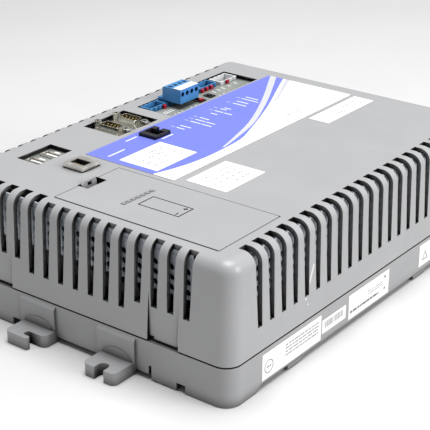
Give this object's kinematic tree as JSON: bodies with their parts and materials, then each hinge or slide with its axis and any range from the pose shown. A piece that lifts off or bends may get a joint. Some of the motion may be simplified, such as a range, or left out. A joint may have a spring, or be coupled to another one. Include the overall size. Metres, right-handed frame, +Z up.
{
  "type": "network controller",
  "caption": "Low vented plastic control box with a battery door on top and recessed serial, USB, network and pluggable terminal ports.",
  "frame": {"origin": "middle of the casing's footprint, on the plane its corner pads rest on", "axes": "+X along the long side between the mounting feet, away from the battery door; +Y along the short side towards the connector row; +Z up through the top cover, away from the panel"},
  "size_m": [0.3366, 0.2241, 0.0968],
  "materials": {
    "casing": "satin moulded grey",
    "casing_base": "satin moulded grey",
    "galvanised": "zinc-plated sheet",
    "steel": "nickel plated",
    "brass": "turned",
    "board": "solder-resist green",
    "card": "grey-green",
    "battery_case": "moulded",
    "black_plastic": "moulded",
    "white_plastic": "moulded",
    "grey_plastic": "moulded",
    "blue_plastic": "moulded",
    "red_plastic": "moulded",
    "clear_plastic": "clear",
    "heatsink": "anodised",
    "iron": "varnished laminations",
    "winding": "yellow tape",
    "contacts": "gold plated",
    "label": "printed film",
    "overlay": "printed film"
  },
  "bodies": {
    "casing": {"backup_battery": "battery_case", "base_tray": "casing_base", "battery_terminals": "contacts", "battery_tray": "galvanised", "board_screws": "steel", "board_spacers": "brass", "bus_header_a": "blue_plastic", "bus_header_b": "blue_plastic", "bus_header_c": "blue_plastic", "bus_header_d": "blue_plastic", "capacitors": "steel", "chips": "black_plastic", "clock_cell": "steel", "clock_cell_holder": "black_plastic", "coding_keys": "red_plastic", "connector_card": "card", "cover_screws": "steel", "ethernet_contacts": "contacts", "ethernet_insert": "black_plastic", "ethernet_shell": "steel", "flash_card": "black_plastic", "flash_socket": "black_plastic", "header_pins": "steel", "heatsink": "heatsink", "light_pipes": "clear_plastic", "line_switch": "black_plastic", "lon_header": "grey_plastic", "main_board": "board", "modem_contacts": "contacts", "modem_jack": "black_plastic", "overlay_label": "overlay", "processor": "black_plastic", "reload_switch": "black_plastic", "riser_board": "board", "riser_sockets": "black_plastic", "serial_inserts": "black_plastic", "serial_jackscrews": "steel", "serial_pins": "contacts", "serial_shells": "steel", "shield_cage": "galvanised", "side_labels": "label", "top_cover": "casing", "top_stickers": "label", "transformer_core": "iron", "transformer_winding": "winding", "upper_board": "board", "usb_shells": "steel", "usb_tongues": "white_plastic"},
    "battery_door": {"battery_door": "casing"},
    "door_latch": {"door_latch": "casing"},
    "rail_clip_1": {"rail_clip_1": "casing_base"},
    "rail_clip_2": {"rail_clip_2": "casing_base"},
    "plug": {"terminal_plug": "blue_plastic", "plug_screws": "steel", "wire_cages": "steel", "marker_strip": "label"},
    "lever": {"switch_lever": "red_plastic"},
    "button": {"reload_button": "black_plastic"}
  },
  "joints": [
    {"name": "door_hinge", "type": "hinge", "parent": "casing", "child": "battery_door", "pos_m": [-0.105, -0.0908, 0.0843], "axis": [1, 0, 0], "range_deg": [0, 95]},
    {"name": "latch_slide", "type": "slide", "parent": "battery_door", "child": "door_latch", "axis": [1, 0, 0], "range_m": [0, 0.002], "stiffness_N_per_m": 300, "springref_m": -0.001},
    {"name": "rail_clip_1_slide", "type": "slide", "parent": "casing", "child": "rail_clip_1", "axis": [0, -1, 0], "range_m": [0, 0.005], "stiffness_N_per_m": 600, "springref_m": -0.001},
    {"name": "rail_clip_2_slide", "type": "slide", "parent": "casing", "child": "rail_clip_2", "axis": [0, -1, 0], "range_m": [0, 0.005], "stiffness_N_per_m": 600, "springref_m": -0.001},
    {"name": "plug_pull", "type": "slide", "parent": "casing", "child": "plug", "axis": [0, 0, 1], "range_m": [0, 0.012]},
    {"name": "line_switch_slide", "type": "slide", "parent": "casing", "child": "lever", "axis": [0, 1, 0], "range_m": [0, 0.004]},
    {"name": "reload_press", "type": "slide", "parent": "casing", "child": "button", "axis": [0, 0, -1], "range_m": [0, 0.0006], "stiffness_N_per_m": 500, "springref_m": -0.0004}
  ]
}
